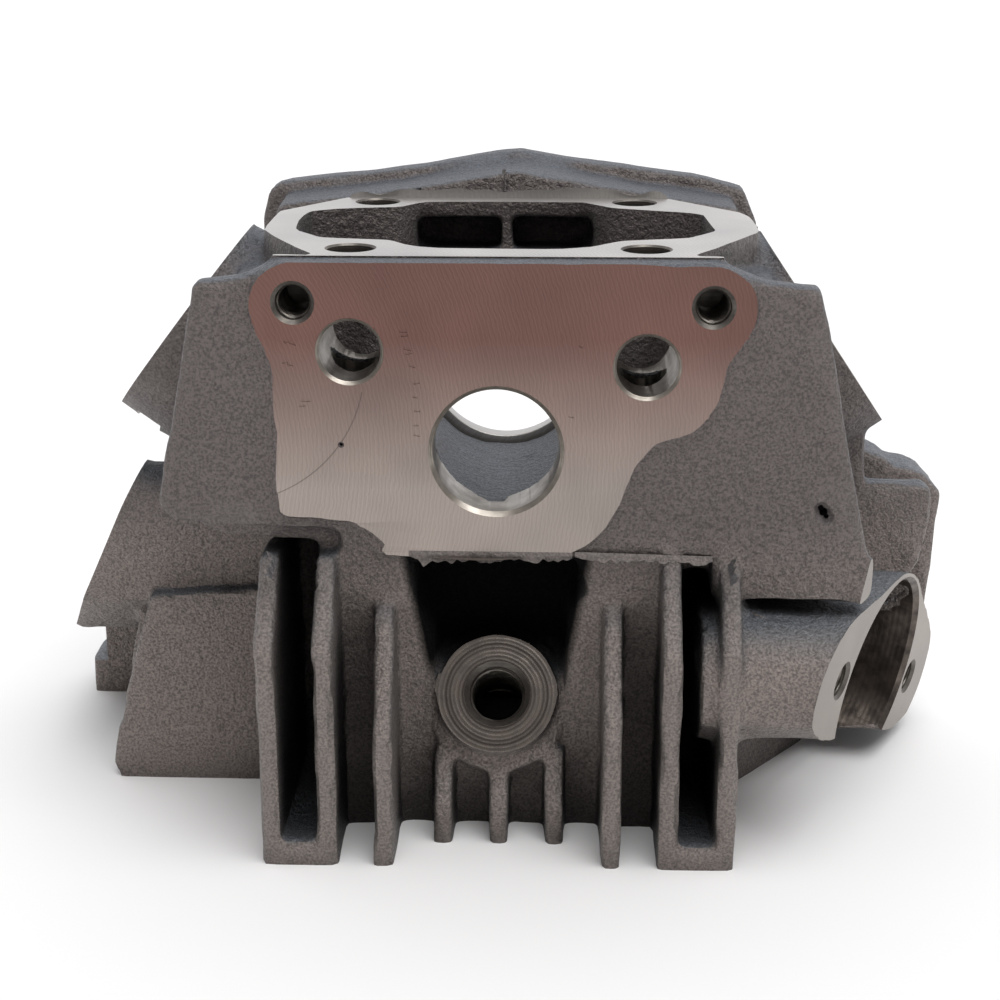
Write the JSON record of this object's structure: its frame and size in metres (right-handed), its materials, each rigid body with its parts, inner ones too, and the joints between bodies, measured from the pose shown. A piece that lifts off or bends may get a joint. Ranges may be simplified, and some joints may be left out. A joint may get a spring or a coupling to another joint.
{
  "type": "cylinder head",
  "caption": "Bare finned aluminium head of a small air-cooled overhead-camshaft engine, with its inlet and exhaust valves, springs, guides and seats fitted.",
  "frame": {"origin": "middle of the casting's underside, level with the gasket face", "axes": "+Z from the gasket face to the top cover face, along the cylinder's bore; +X from the inlet flange to the exhaust flange; +Y from the spark plug side to the cam chain side"},
  "size_m": [0.175, 0.1024, 0.1119],
  "materials": {
    "cast_aluminium": "rough die-cast, milled on its faces and bores",
    "valve_steel": "ground",
    "sintered_seat": "sintered, cut on its seat",
    "guide_bronze": "turned",
    "clip_steel": "drawn wire",
    "seal_rubber": "moulded",
    "washer_steel": "pressed",
    "spring_steel": "drawn wire, oiled",
    "retainer_steel": "turned",
    "collet_steel": "turned and hardened"
  },
  "bodies": {
    "head": {"head_casting": "cast_aluminium", "intake_valve_seat": "sintered_seat", "intake_valve_guide": "guide_bronze", "intake_guide_clip": "clip_steel", "intake_stem_seal": "seal_rubber", "intake_spring_seat": "washer_steel", "intake_outer_spring": "spring_steel", "intake_inner_spring": "spring_steel", "exhaust_valve_seat": "sintered_seat", "exhaust_valve_guide": "guide_bronze", "exhaust_guide_clip": "clip_steel", "exhaust_stem_seal": "seal_rubber", "exhaust_spring_seat": "washer_steel", "exhaust_outer_spring": "spring_steel", "exhaust_inner_spring": "spring_steel"},
    "intake_valve_set": {"intake_valve": "valve_steel", "intake_spring_retainer": "retainer_steel", "intake_collet_front": "collet_steel", "intake_collet_rear": "collet_steel"},
    "exhaust_valve_set": {"exhaust_valve": "valve_steel", "exhaust_spring_retainer": "retainer_steel", "exhaust_collet_front": "collet_steel", "exhaust_collet_rear": "collet_steel"}
  },
  "joints": [
    {"name": "intake_valve_lift", "type": "slide", "parent": "head", "child": "intake_valve_set", "axis": [0.5, 0, -0.866], "range_m": [0, 0.0055], "stiffness_N_per_m": 9000, "springref_m": -0.008, "deforming": ["intake_outer_spring", "intake_inner_spring"]},
    {"name": "exhaust_valve_lift", "type": "slide", "parent": "head", "child": "exhaust_valve_set", "axis": [-0.5, 0, -0.866], "range_m": [0, 0.0055], "stiffness_N_per_m": 9000, "springref_m": -0.008, "deforming": ["exhaust_outer_spring", "exhaust_inner_spring"]}
  ]
}
